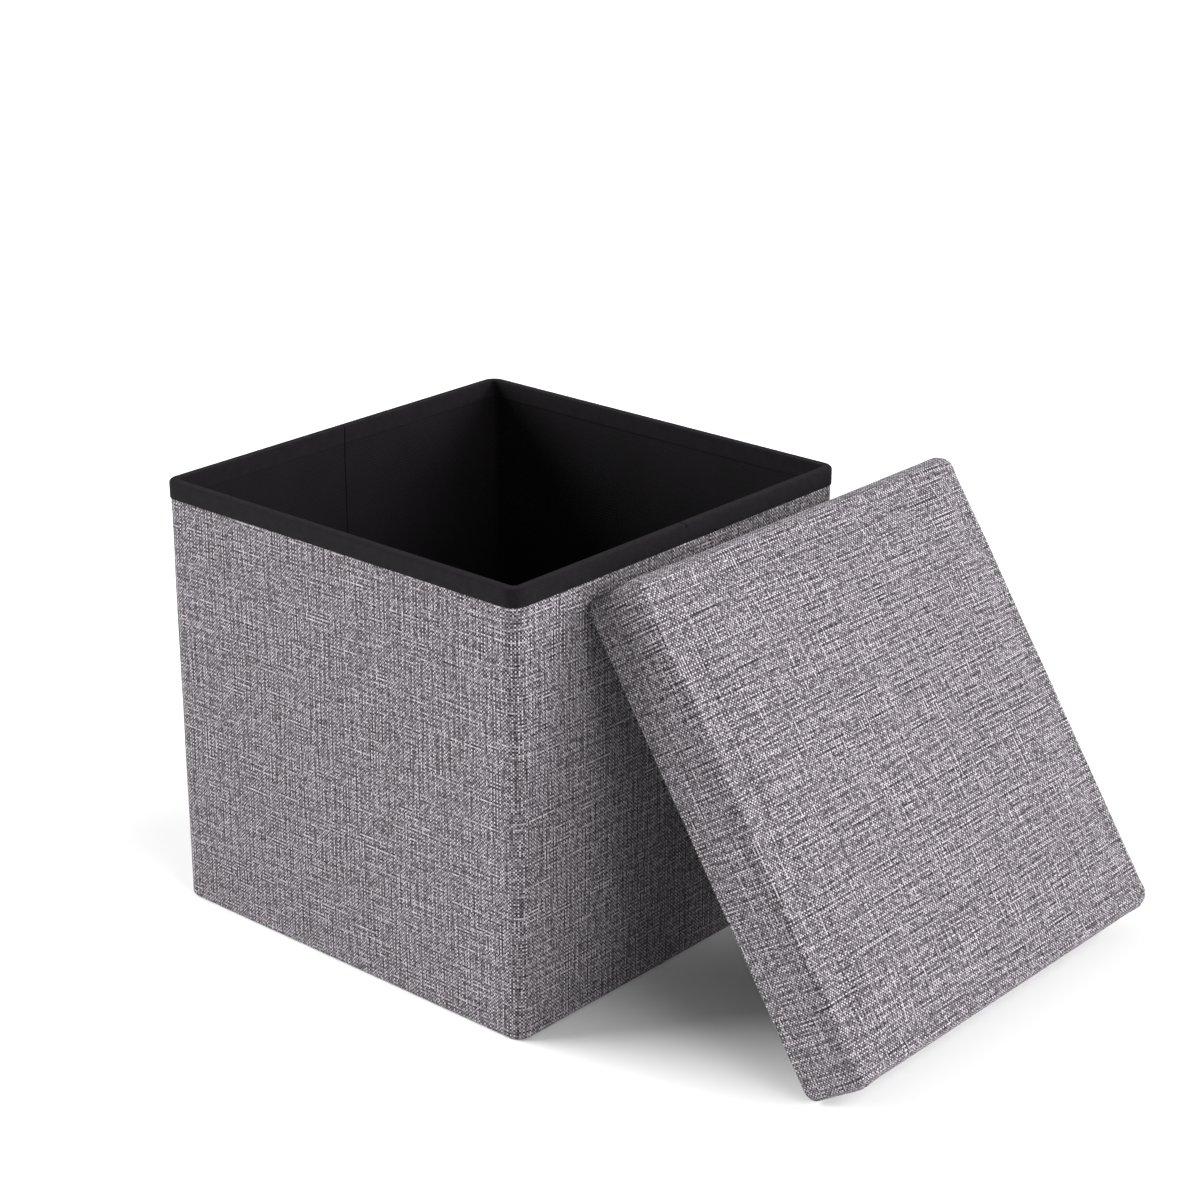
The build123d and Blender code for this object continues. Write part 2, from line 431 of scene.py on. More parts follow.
def studio_floor():
    """Pale matt floor with a hardly visible mottle."""
    s = Shader("studio_floor")
    place = s.object_place()
    mottle = s.cloud(place, 3.0, 3.0)
    tone = settings().colours.floor
    colour = s.mix(mottle, rgba(tone, 0.985), rgba(tone, 1.0))
    return s.finish(Base_Color=colour, Roughness=0.9 + mottle * 0.05, Specular_IOR_Level=0.1)


FINISHES = {}


def finish_of(name):
    """The material of that name, made once."""
    makers = {
        "linen": linen,
        "tape": twill_tape,
        "lining": lambda: nonwoven("black_lining", 1.0),
        "wrap": lambda: nonwoven("black_nonwoven", 1.25),
        "webbing": webbing,
        "board": fibreboard,
        "foam": foam,
        "wire": galvanised_wire,
        "thread": lambda: sewing_thread("grey_thread", (0.12, 0.115, 0.125)),
        "black_thread": lambda: sewing_thread("black_thread", (0.018, 0.017, 0.018)),
        "floor": studio_floor,
    }
    if name not in FINISHES:
        FINISHES[name] = makers[name]()
    return FINISHES[name]


# ---------------------------------------------------------------- mesh helpers
class Strip:
    """A band of cloth or tape that grows from an upright outline: it runs straight or turns round a corner.

    The outline is a list of (out, z) points: out is how far a point lies outside the linen's face. The band
    starts on the middle of the front wall and runs towards +X. It keeps its length for the weave.
    """

    def __init__(self, outline):
        self.bm = bmesh.new()
        self.along = self.bm.verts.layers.float.new("along")
        self.up = self.bm.verts.layers.float.new("up")
        before, travelled, line = None, 0.0, []
        for out, z in outline:
            vert = self.bm.verts.new((0, -HALF_D - out, z))
            if before is not None:
                travelled += (vert.co - before.co).length
                line.append(self.bm.edges.new((before, vert)))
            vert[self.up] = travelled
            before = vert
        self.line = line
        self.heading = Vector((1, 0, 0))

    def grow(self, moved):
        """Extrudes the leading line once and gives its new points."""
        made = bmesh.ops.extrude_edge_only(self.bm, edges=self.line)["geom"]
        verts = [item for item in made if isinstance(item, bmesh.types.BMVert)]
        new = set(verts)
        self.line = [item for item in made if isinstance(item, bmesh.types.BMEdge)
                     and item.verts[0] in new and item.verts[1] in new]
        for vert in verts:
            vert[self.along] += moved
        return verts

    def straight(self, stops):
        """Runs on to each of the distances in stops, measured from where this stretch starts."""
        before = 0.0
        for stop in stops:
            verts = self.grow(stop - before)
            bmesh.ops.translate(self.bm, verts=verts, vec=self.heading * (stop - before))
            before = stop

    def turn(self, steps):
        """Turns round the upright line of the corner, a tenth of a quarter at each step."""
        angle = math.pi / 2 / TURN_STEPS
        spin = Matrix.Rotation(angle, 4, "Z")
        for _ in range(steps):
            verts = self.grow(QUARTER / TURN_STEPS)
            bmesh.ops.rotate(self.bm, verts=verts, cent=CORNER, matrix=spin)
        self.heading = Matrix.Rotation(angle * steps, 3, "Z") @ self.heading


def graded(length, fine, coarse, at_start=False, at_end=False):
    """Distances that step finely near the ends that need it and coarsely between."""
    stops = []
    place = 0.0
    while place < length - 1e-9:
        near = min(place if at_start else length, length - place if at_end else length)
        step = min(coarse, max(fine, near * 0.5))
        place = length if length - place < step * 1.4 else place + step
        stops.append(place)
    return stops


def to_piece(bm, name, materials, smooth=True):
    """Turns a bmesh into a named piece with its finishes."""
    for face in bm.faces:
        face.smooth = smooth
    for edge in bm.edges:
        if edge.is_boundary:
            edge.smooth = False
    mesh = bpy.data.meshes.new(name)
    bm.to_mesh(mesh)
    bm.free()
    piece = bpy.data.objects.new(name, mesh)
    bpy.context.scene.collection.objects.link(piece)
    for material in materials:
        mesh.materials.append(finish_of(material))
    return piece


def lay_weave(bm, along_layer, up_layer, start=0.0, sign=1.0, lift=0.0):
    """Writes each point's length along and up the cloth as its place in the weave."""
    weave = bm.loops.layers.uv.new("cloth")
    for face in bm.faces:
        for loop in face.loops:
            vert = loop.vert
            loop[weave].uv = (start + sign * vert[along_layer], lift + vert[up_layer])


def thicken(piece, thickness, even=True):
    solid = piece.modifiers.new("thickness", "SOLIDIFY")
    solid.thickness = thickness
    solid.offset = -1.0
    solid.use_even_offset = even


def ripple(point, size, depth):
    """A slow rise and fall of the cloth over its board."""
    return depth * noise.noise(Vector(point) / size)


# ---------------------------------------------------------------- the walls
ROUND = 0.010                     # radius of the box's upright corners, at the linen's face
FINE, COARSE = 0.0025, 0.012      # steps along a band, near its bends and far from them
SEAM_DROP = 0.003                 # top of the linen and lining to the rim
SOFT_BEND, TIGHT_BEND = 0.0022, 0.0009
SPLIT = 0.075                     # a side wall's covers meet this far from the crease
CORNER_RUN = HALF_W - ROUND       # middle of the front wall to where its corner starts
QUARTER = math.pi / 2 * ROUND
SIDE_RUN = HALF_D - ROUND - SPLIT
HALF_ROUND = CORNER_RUN + QUARTER + SIDE_RUN + SPLIT
CORNER = (CORNER_RUN, -CORNER_RUN, 0)
TURN_STEPS = 10


def mirrored(bm, mirror_x, mirror_y):
    """Mirrors a finished bmesh into another quarter of the box."""
    if not (mirror_x or mirror_y):
        return
    flip = Matrix.Diagonal((-1 if mirror_x else 1, -1 if mirror_y else 1, 1, 1))
    bmesh.ops.transform(bm, matrix=flip, verts=bm.verts)
    if mirror_x != mirror_y:
        bmesh.ops.reverse_faces(bm, faces=bm.faces)


def face_out(bm, wanted):
    """Makes the face that lies furthest the wanted way look that way, and the rest with it."""
    way = Vector(wanted)
    bmesh.ops.recalc_face_normals(bm, faces=bm.faces)
    bm.normal_update()
    square = [face for face in bm.faces if abs(face.normal.dot(way)) > 0.9]
    outermost = max(square, key=lambda face: face.calc_center_median().dot(way))
    if outermost.normal.dot(way) < 0:
        bmesh.ops.reverse_faces(bm, faces=bm.faces)


def corner_band(outline, wanted, depth, steps=TURN_STEPS, reach=SIDE_RUN):
    """A band from the middle of the front wall round the near corner to the split on the right wall."""
    strip = Strip(outline)
    strip.straight(graded(CORNER_RUN, FINE, COARSE, at_end=True))
    strip.turn(steps)
    if reach:
        strip.straight(graded(reach, FINE, COARSE, at_start=True))
    soften(strip, depth)
    face_out(strip.bm, wanted)
    return strip


def mitre(strip):
    """Slants the joint at the open corner: late round the outside of the wall, early round its inside."""
    quarter = math.pi / 2
    for vert in strip.bm.verts:
        away = vert.co - Vector(CORNER)
        if away.x < 1e-6 or away.y > -1e-6:
            continue
        angle = math.atan2(away.x, -away.y)
        inside = (HALF_W - CORNER_RUN - math.hypot(away.x, away.y)) / WALL
        joint = math.radians(78 - 43 * inside)
        if angle <= quarter / 2 + 1e-6:
            turned = angle * joint / (quarter / 2)
        else:
            turned = quarter - (quarter - angle) * (quarter - joint) / (quarter / 2)
        away.z = 0
        vert.co += Matrix.Rotation(turned - angle, 3, "Z") @ away - away


def side_band(outline, wanted, depth, steps):
    """The rest of such a band, from that many steps round the corner to the split."""
    strip = Strip(outline)
    bmesh.ops.translate(strip.bm, verts=strip.bm.verts, vec=(CORNER_RUN, 0, 0))
    angle = math.pi / 2 * steps / TURN_STEPS
    bmesh.ops.rotate(strip.bm, verts=strip.bm.verts, cent=CORNER, matrix=Matrix.Rotation(angle, 4, "Z"))
    strip.heading = Matrix.Rotation(angle, 3, "Z") @ strip.heading
    strip.turn(TURN_STEPS - steps)
    strip.straight(graded(SIDE_RUN, FINE, COARSE))
    soften(strip, depth)
    face_out(strip.bm, (-wanted[1], 0, 0))
    return strip


def crease_band(outline, wanted, depth, dip):
    """A band from split to split across the crease of the right wall, with the cloth sunk in at the fold."""
    strip = Strip(outline)
    flat = SPLIT - GAP
    strip.straight(graded(flat, GAP, COARSE, at_end=True) + [SPLIT - PLEAT, SPLIT])
    strip.straight([PLEAT, GAP] + [GAP + stop for stop in graded(flat, GAP, COARSE, at_start=True)])
    turn = Matrix.Translation((HALF_W - HALF_D, 0, 0)) @ Matrix.Rotation(math.pi / 2, 4, "Z")
    bmesh.ops.transform(strip.bm, matrix=turn @ Matrix.Translation((-SPLIT, 0, 0)), verts=strip.bm.verts)
    sink_crease(strip.bm, dip)
    soften(strip, depth)
    face_out(strip.bm, (-wanted[1], 0, 0))
    return strip


def sink_crease(bm, dip):
    """Lays the cloth in a shallow groove at the fold, and tucks its inner layers into the gap as a pleat."""
    tuck = HALF_W - 0.0005
    for vert in bm.verts:
        if vert.co.x > tuck:
            vert.co.x -= 0.00025 * math.exp(-(vert.co.y / 0.004) ** 2)
        if abs(vert.co.y) < PLEAT + 1e-6:
            if vert.co.x < tuck:
                vert.co.x = tuck - (tuck - vert.co.x) * 0.012
            if vert.co.z > TAPE_LOW:
                vert.co.z -= dip * (vert.co.z - TAPE_LOW) / (RIM - TAPE_LOW)


def soften(strip, depth):
    """Gives the cloth a slow uneven lie over its board."""
    if not depth:
        return
    strip.bm.normal_update()
    shifts = [(vert, vert.normal * ripple(vert.co, 0.06, depth)) for vert in strip.bm.verts]
    for vert, shift in shifts:
        held = min(1.0, (vert.co.z - HEM_TOP) / 0.03, (RIM - vert.co.z) / 0.03)
        vert.co += Vector((shift.x, shift.y, 0)) * max(0.0, held)


def upright(out, low, high, steps):
    return [(out, low + (high - low) * i / steps) for i in range(steps + 1)]


LINEN_LINE = upright(0.0, HEM_TOP, RIM - SEAM_DROP, 26)
LINING_LINE = upright(-WALL, HEM_TOP, RIM - SEAM_DROP, 26)


def tape_line():
    """Over the rim: up the outside, round a soft edge and a tighter one, and down the inside."""
    proud = TAPE_PROUD + 0.0001
    bend = SOFT_BEND
    outer = [(proud, TAPE_LOW + (RIM - bend - TAPE_LOW) * i / 5) for i in range(6)]
    over = []
    for i in range(1, 6):
        angle = math.pi / 2 * i / 5
        over.append((proud - bend + bend * math.cos(angle), RIM - bend + bend * math.sin(angle)))
    inside = -WALL - proud
    bend = TIGHT_BEND
    back = []
    for i in range(0, 5):
        angle = math.pi / 2 * i / 5
        back.append((inside + bend - bend * math.sin(angle), RIM - bend + bend * math.cos(angle)))
    inner = [(inside, RIM - bend + (TAPE_LOW - RIM + bend) * i / 5) for i in range(6)]
    return outer + over + back + inner


def hem_line():
    """Down the outside, round the lower edge, and up the inside."""
    bend = SOFT_BEND
    line = [(0.0, HEM_TOP), (0.0, (HEM_TOP + bend) / 2)]
    for i in range(5):
        angle = math.pi / 2 * i / 4
        line.append((-bend + bend * math.cos(angle), bend - bend * math.sin(angle)))
    for i in range(5):
        angle = math.pi / 2 * i / 4
        line.append((-WALL + bend - bend * math.sin(angle), bend - bend * math.cos(angle)))
    line += [(-WALL, (HEM_TOP + bend) / 2), (-WALL, HEM_TOP)]
    return line


CORNERS = {
    # name: (mirror x, mirror y, body it starts on, body it ends on)
    "right_front_corner": (False, False, "front_wall", "right_front"),
    "right_rear_corner": (False, True, "back_wall", "right_rear"),
    "left_front_corner": (True, False, "front_wall", "left_front"),
}
FOLD_CLOTH = 0.00025              # thickness of the pressed cloth at a crease
CREASES = {
    "right_crease": (False, "right_front", "right_rear"),
    "left_crease": (True, "left_front", "left_rear"),
}


def wall_layer(layer, outline, wanted, finish, thickness, depth, dip, zone, nodes):
    """One layer of the sleeve of cloth round the box, as bands that each cross one hinge.

    nodes maps each band to the wall pieces that it stands for, and zone is not used.
    """
    made = {}
    half_w, half_d = (INNER_W, INNER_D) if wanted[1] > 0 else (HALF_W, HALF_D)
    for name, (mirror_x, mirror_y, first, last) in CORNERS.items():
        strip = corner_band(outline, wanted, depth)
        sign = -1 if mirror_x else 1
        start = 2 * HALF_ROUND if mirror_y else 0.0
        lay_weave(strip.bm, strip.along, strip.up, sign * start, -sign if mirror_y else sign, outline[0][1])
        mirrored(strip.bm, mirror_x, mirror_y)
        piece = to_piece(strip.bm, f"{layer}_{name}", [finish])
        y_sign = 1 if mirror_y else -1
        corner = Vector((sign * half_w, y_sign * half_d, 0))
        start_at = corner - Vector((sign * zone, 0, 0))
        end_at = corner - Vector((0, y_sign * zone, 0))
        made[name] = (piece, lambda p=piece, a=first, b=last, s=start_at, e=end_at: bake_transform(p))
    for name, (mirror_x, first, last) in CREASES.items():
        strip = crease_band(outline, wanted, depth, dip)
        sign = -1 if mirror_x else 1
        start = HALF_ROUND - SPLIT
        lay_weave(strip.bm, strip.along, strip.up, sign * start, sign, outline[0][1])
        mirrored(strip.bm, mirror_x, False)
        piece = to_piece(strip.bm, f"{layer}_{name}", [finish])
        ends = [Vector((sign * HALF_W, y, 0)) for y in (-GAP * 0.98, GAP * 0.98)]
        made[name] = (piece, lambda p=piece, a=first, b=last, s=ends[0], e=ends[1]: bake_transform(p))
    # the corner with the open hinge: the back wall keeps one band and the left wall the other
    steps = TURN_STEPS // 2
    strip = corner_band(outline, wanted, depth, steps, 0.0)
    mitre(strip)
    lay_weave(strip.bm, strip.along, strip.up, -2 * HALF_ROUND, 1.0, outline[0][1])
    mirrored(strip.bm, True, True)
    piece = to_piece(strip.bm, f"{layer}_left_rear_corner", [finish])
    made["left_rear_corner"] = (piece, lambda p=piece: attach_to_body(p, "back_wall"))
    strip = side_band(outline, wanted, depth, steps)
    mitre(strip)
    start = 2 * HALF_ROUND - CORNER_RUN - QUARTER * steps / TURN_STEPS
    lay_weave(strip.bm, strip.along, strip.up, -start, 1.0, outline[0][1])
    mirrored(strip.bm, True, True)
    piece = to_piece(strip.bm, f"{layer}_left_rear_side", [finish])
    made["left_rear_side"] = (piece, lambda p=piece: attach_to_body(p, "left_rear"))
    for name, (piece, attach) in made.items():
        thicken(piece, FOLD_CLOTH if name in CREASES else thickness, even=False)
        attach()
        if name in nodes:
            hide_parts(*nodes[name])
    return {name: piece for name, (piece, _) in made.items()}


def layer_nodes(kind):
    return {
        "right_front_corner": [f"front_{kind}", f"right_front_{kind}"],
        "right_rear_corner": [f"back_{kind}", f"right_rear_{kind}"],
        "left_front_corner": [f"left_front_{kind}"],
        "left_rear_side": [f"left_rear_{kind}"],
    }


def declare_sheets(pieces):
    """Goes through the bands of cloth but states nothing about them."""
    for name, piece in pieces.items():
        if name.endswith("crease"):
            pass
        elif name == "left_rear_corner":
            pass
        elif name == "left_rear_side":
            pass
        else:
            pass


# ---------------------------------------------------------------- operators
class OTTOMAN_OT_cover(bpy.types.Operator):
    """Makes the linen sleeve over the outside of the walls"""

    bl_idname = "ottoman.cover"
    bl_label = "Linen Cover"

    def execute(self, context):
        sizes = settings().sizes
        pieces = wall_layer("cover", LINEN_LINE, (0, -1, 0), "linen", sizes.cloth, 0.0004,
                            sizes.crease_dip, 0.010, layer_nodes("linen"))
        declare_sheets(pieces)
        return {"FINISHED"}


class OTTOMAN_OT_lining(bpy.types.Operator):
    """Makes the black lining inside the walls"""

    bl_idname = "ottoman.lining"
    bl_label = "Lining"

    def execute(self, context):
        sizes = settings().sizes
        pieces = wall_layer("lining", LINING_LINE, (0, 1, 0), "lining", 0.0005, 0.0006,
                            sizes.crease_dip, 0.008, layer_nodes("lining"))
        declare_sheets(pieces)
        return {"FINISHED"}


class OTTOMAN_OT_tape(bpy.types.Operator):
    """Makes the black twill tape bound over the rim"""

    bl_idname = "ottoman.tape"
    bl_label = "Rim Tape"

    def execute(self, context):
        sizes = settings().sizes
        pieces = wall_layer("rim_tape", tape_line(), (0, -1, 0), "tape", 0.0005, 0.0,
                            sizes.crease_dip, 0.006, layer_nodes("binding"))
        declare_sheets(pieces)
        return {"FINISHED"}


class OTTOMAN_OT_hems(bpy.types.Operator):
    """Makes the turned lower edge of the cover on each wall"""

    bl_idname = "ottoman.hems"
    bl_label = "Hems"

    def execute(self, context):
        piece = to_piece(self.full_hem(False), "front_hem_roll", ["linen", "lining"])
        self.place(piece, "front_wall", None)
        piece = to_piece(self.full_hem(True), "back_hem_roll", ["linen", "lining"])
        self.place(piece, "back_wall", "back_hem")
        for side, sign in SIDES.items():
            for end, y_sign in (("front", -1), ("rear", 1)):
                piece = to_piece(self.half_hem(sign, y_sign), f"{side}_{end}_hem_roll", ["linen", "lining"])
                self.place(piece, f"{side}_{end}", f"{side}_{end}_hem")
        return {"FINISHED"}

    def place(self, piece, body, node):
        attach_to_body(piece, body)
        if node:
            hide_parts(node)
            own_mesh(piece)

    def inside_lining(self, bm):
        """Gives the inner face of a hem the lining's finish."""
        for face in bm.faces:
            middle = face.calc_center_median()
            inner = abs(middle.x) < INNER_W + SOFT_BEND and abs(middle.y) < INNER_D + SOFT_BEND
            face.material_index = 1 if inner else 0

    def full_hem(self, mirror_y):
        """The hem of the front or back wall, with its two rounded corners."""
        strip = Strip(hem_line())
        strip.straight(graded(CORNER_RUN, FINE, COARSE, at_end=True))
        strip.turn(TURN_STEPS)
        face_out(strip.bm, (0, -1, 0))
        start = 2 * HALF_ROUND if mirror_y else 0.0
        for vert in strip.bm.verts:
            vert[strip.up] = -vert[strip.up]
        lay_weave(strip.bm, strip.along, strip.up, start, -1.0 if mirror_y else 1.0, HEM_TOP)
        other = strip.bm.copy()
        turn_weave(other, 0.0)
        bmesh.ops.transform(other, matrix=Matrix.Diagonal((-1, 1, 1, 1)), verts=other.verts)
        bmesh.ops.reverse_faces(other, faces=other.faces)
        joined = join_bmesh([strip.bm, other])
        mirrored(joined, False, mirror_y)
        self.inside_lining(joined)
        return joined

    def half_hem(self, sign, y_sign):
        """The hem of half a side wall, from its corner to the crease."""
        strip = Strip(hem_line())
        length = HALF_D - ROUND
        strip.straight(graded(length, 0.003, COARSE))
        face_out(strip.bm, (0, -1, 0))
        for vert in strip.bm.verts:
            vert[strip.up] = -vert[strip.up]
        lay_weave(strip.bm, strip.along, strip.up, CORNER_RUN + QUARTER, 1.0, HEM_TOP)
        turn = Matrix.Translation((HALF_W - HALF_D, -length, 0)) @ Matrix.Rotation(math.pi / 2, 4, "Z")
        bmesh.ops.transform(strip.bm, matrix=turn, verts=strip.bm.verts)
        if y_sign > 0:
            turn_weave(strip.bm, 2 * HALF_ROUND)
        if sign < 0:
            turn_weave(strip.bm, 0.0)
        mirrored(strip.bm, sign < 0, y_sign > 0)
        self.inside_lining(strip.bm)
        return strip.bm


def turn_weave(bm, start):
    """Makes the weave run back from start along the cloth."""
    weave = bm.loops.layers.uv["cloth"]
    for face in bm.faces:
        for loop in face.loops:
            loop[weave].uv.x = start - loop[weave].uv.x


def join_bmesh(parts):
    """Puts several bmeshes into one and welds what touches."""
    joined = bmesh.new()
    for part in parts:
        mesh = bpy.data.meshes.new("part")
        part.to_mesh(mesh)
        part.free()
        joined.from_mesh(mesh)
        bpy.data.meshes.remove(mesh)
    bmesh.ops.remove_doubles(joined, verts=joined.verts, dist=0.00001)
    return joined


def flat_weave(bm):
    """Lays a weave over a piece by the way each face looks, in metres."""
    weave = bm.loops.layers.uv.new("cloth")
    for face in bm.faces:
        n = face.normal
        biggest = max(range(3), key=lambda i: abs(n[i]))
        first, second = [i for i in range(3) if i != biggest]
        for loop in face.loops:
            loop[weave].uv = (loop.vert.co[first], loop.vert.co[second])


def soft_edge(bm, edges, radius, segments):
    """Rounds those edges."""
    bmesh.ops.bevel(bm, geom=edges, offset=radius, segments=segments, affect="EDGES", profile=0.5,
                    material=-1, offset_type="OFFSET")


def slice_at(bm, axis, place):
    """Cuts every face where that axis has that place."""
    way = Vector((axis == "x", axis == "y", axis == "z"))
    bmesh.ops.bisect_plane(bm, geom=bm.verts[:] + bm.edges[:] + bm.faces[:], dist=1e-7, plane_co=way * place,
                           plane_no=way)


def boxed(low, high, edge, segments):
    """A box with softly rounded edges."""
    bm = bmesh.new()
    bmesh.ops.create_cube(bm, size=1.0)
    size = high - low
    bmesh.ops.transform(bm, matrix=Matrix.Translation((low + high) / 2) @ Matrix.Diagonal((*size, 1)),
                        verts=bm.verts)
    soft_edge(bm, bm.edges[:], edge, segments)
    return bm


class OTTOMAN_OT_base(bpy.types.Operator):
    """Makes the bottom sheet, the wrap of the loose base and its webbing pull tab"""

    bl_idname = "ottoman.base"
    bl_label = "Bottom and Loose Base"

    def execute(self, context):
        self.bottom_sheet()
        self.wrap()
        self.tab()
        return {"FINISHED"}

    def bottom_sheet(self):
        low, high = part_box("bottom_sheet")
        bm = bmesh.new()
        bmesh.ops.create_grid(bm, x_segments=40, y_segments=40, size=0.5)
        size = high - low
        middle = (low + high) / 2
        place = Matrix.Translation((middle.x, middle.y, high.z)) @ Matrix.Diagonal((size.x, size.y, 1, 1))
        bmesh.ops.transform(bm, matrix=place, verts=bm.verts)
        bm.normal_update()
        flat_weave(bm)
        piece = to_piece(bm, "bottom_cloth", ["wrap"])
        thicken(piece, high.z - low.z)
        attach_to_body(piece, "front_wall")
        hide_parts("bottom_sheet")
        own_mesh(piece)

    def wrap(self):
        low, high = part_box("base_wrap")
        bm = boxed(low, high, 0.0018, 4)
        bm.normal_update()
        flat_weave(bm)
        piece = to_piece(bm, "base_cloth_wrap", ["wrap"])
        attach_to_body(piece, "base")
        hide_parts("base_wrap")

    def tab(self):
        low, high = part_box("base_pull_tab")
        width, length = high.x - low.x, high.y - low.y
        thickness = (high.z - low.z) / 2
        middle = (low + high) / 2
        bm = bmesh.new()
        bmesh.ops.create_grid(bm, x_segments=10, y_segments=28, size=0.5)
        place = Matrix.Translation((middle.x, middle.y, high.z)) @ Matrix.Diagonal((width, length, 1, 1))
        bmesh.ops.transform(bm, matrix=place, verts=bm.verts)
        for vert in bm.verts:
            past = abs(vert.co.y - middle.y) - (length - width) / 2
            if past > 0:
                reach = math.sqrt(max(0.0, 1 - (2 * past / width) ** 2))
                vert.co.x = middle.x + (vert.co.x - middle.x) * max(reach, 0.35)
        bm.normal_update()
        flat_weave(bm)
        piece = to_piece(bm, "base_pull_strap", ["webbing"])
        thicken(piece, thickness)
        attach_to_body(piece, "base")
        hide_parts("base_pull_tab")
        stitches = stitch_row([Vector((middle.x + side * width * 0.32, low.y + width * 0.35, high.z))
                               + Vector((0, 0.0045 * i, 0)) for side in (-1, 1) for i in range(4)],
                              Vector((0, 1, 0)), 0.003, 0.00032, "pull_strap_stitches", "black_thread")
        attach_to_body(stitches, "base")


def stitch_row(places, way, long, radius, name, finish):
    """Short stitches lying on a surface, each a small capsule that points that way."""
    bm = bmesh.new()
    turn = way.to_track_quat("Z", "Y").to_matrix().to_4x4()
    for place in places:
        stretch = Matrix.Diagonal((radius, radius, long / 2, 1))
        bmesh.ops.create_icosphere(bm, subdivisions=1, radius=1.0,
                                   matrix=Matrix.Translation(place) @ turn @ stretch)
    return to_piece(bm, name, [finish])


# ---------------------------------------------------------------- the lid
class OTTOMAN_OT_cushion(bpy.types.Operator):
    """Makes the padded linen cushion of the lid and the foam in it"""

    bl_idname = "ottoman.cushion"
    bl_label = "Lid Cushion"

    def execute(self, context):
        sizes = settings().sizes
        piece = self.slab(sizes)
        self.fill_out(piece, sizes)
        self.dress(piece, sizes)
        piece.data.transform(LID_PLACE)
        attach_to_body(piece, "lid")
        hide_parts("lid_linen")
        self.padding(sizes)
        return {"FINISHED"}

    def slab(self, sizes):
        """The cushion before it is filled: soft top edges, round corners, and cloth turned in below."""
        low = Vector((-LID_HALF, -LID_HALF, 0))
        high = Vector((LID_HALF, LID_HALF, sizes.cushion_height))
        bm = bmesh.new()
        bmesh.ops.create_cube(bm, size=1.0)
        size = high - low
        place = Matrix.Translation((low + high) / 2) @ Matrix.Diagonal((*size, 1))
        bmesh.ops.transform(bm, matrix=place, verts=bm.verts)
        corners = [e for e in bm.edges if abs(e.verts[0].co.z - e.verts[1].co.z) > size.z / 2]
        soft_edge(bm, corners, 0.0105, 6)
        soft_edge(bm, [e for e in bm.edges if min(v.co.z for v in e.verts) > high.z - 1e-6],
                  sizes.cushion_edge, 5)
        soft_edge(bm, [e for e in bm.edges if max(v.co.z for v in e.verts) < 1e-6], 0.0014, 2)
        inner = LID_HALF - sizes.turned_cloth
        stops = [inner * i / 23 for i in range(-23, 24)]
        for stop in stops:
            slice_at(bm, "x", stop)
            slice_at(bm, "y", stop)
        for stop in (0.007, 0.014, 0.021, 0.0265):
            slice_at(bm, "z", stop)
        under = [face for face in bm.faces if face.normal.z < -0.9
                 and max(max(abs(v.co.x), abs(v.co.y)) for v in face.verts) < inner + 1e-5]
        bmesh.ops.inset_region(bm, faces=under, thickness=0.0004, depth=-DUST_T * 0.95, use_even_offset=True)
        return to_piece(bm, "lid_cushion", ["linen"])

    def apply(self, piece):
        """Replaces the piece's mesh with what its modifiers make of it."""
        graph = bpy.context.evaluated_depsgraph_get()
        mesh = bpy.data.meshes.new_from_object(piece.evaluated_get(graph))
        piece.modifiers.clear()
        piece.data = mesh
        piece.data.name = piece.name

    def fill_out(self, piece, sizes):
        """Fills the cushion by cloth simulation, and limits how far any point may move."""
        scene = bpy.context.scene
        before = [(vert.co.copy(), vert.normal.copy()) for vert in piece.data.vertices]
        held = piece.vertex_groups.new(name="held")
        for vert in piece.data.vertices:
            if vert.co.z < LID_BOARD_T + 0.0025:
                held.add([vert.index], 1.0, "REPLACE")
        cloth = piece.modifiers.new("cloth", "CLOTH")
        cloth.settings.use_pressure = True
        cloth.settings.uniform_pressure_force = 4.0
        cloth.settings.effector_weights.gravity = 0.0
        cloth.settings.quality = 6
        cloth.settings.tension_stiffness = 12.0
        cloth.settings.compression_stiffness = 12.0
        cloth.settings.bending_stiffness = 1.2
        cloth.settings.vertex_group_mass = "held"
        cloth.point_cache.frame_end = 20
        for number in range(1, 21):
            scene.frame_set(number)
        self.apply(piece)
        scene.frame_set(1)
        limit = sizes.cushion_swell
        for vert, (old, outward) in zip(piece.data.vertices, before):
            moved = vert.co - old
            sunk = min(0.0, moved.dot(outward))
            moved -= outward * sunk
            if moved.length > limit:
                moved *= limit / moved.length
            vert.co = old + moved

    def dress(self, piece, sizes):
        """Smooths the cushion, presses its underside flat, tucks its corners and lays the weave."""
        bm = bmesh.new()
        bm.from_mesh(piece.data)
        free = [vert for vert in bm.verts if vert.co.z > LID_BOARD_T + 0.004]
        bmesh.ops.smooth_vert(bm, verts=free, factor=0.5, use_axis_x=True, use_axis_y=True, use_axis_z=True)
        bmesh.ops.subdivide_edges(bm, edges=bm.edges, cuts=1, use_grid_fill=True, smooth=0.0)
        free = [vert for vert in bm.verts if vert.co.z > LID_BOARD_T + 0.004]
        for _ in range(2):
            bmesh.ops.smooth_vert(bm, verts=free, factor=0.5, use_axis_x=True, use_axis_y=True,
                                  use_axis_z=True)
        for vert in bm.verts:
            self.shape(vert)
        bm.normal_update()
        self.weave(bm, sizes)
        for face in bm.faces:
            face.smooth = True
        bm.to_mesh(piece.data)
        bm.free()

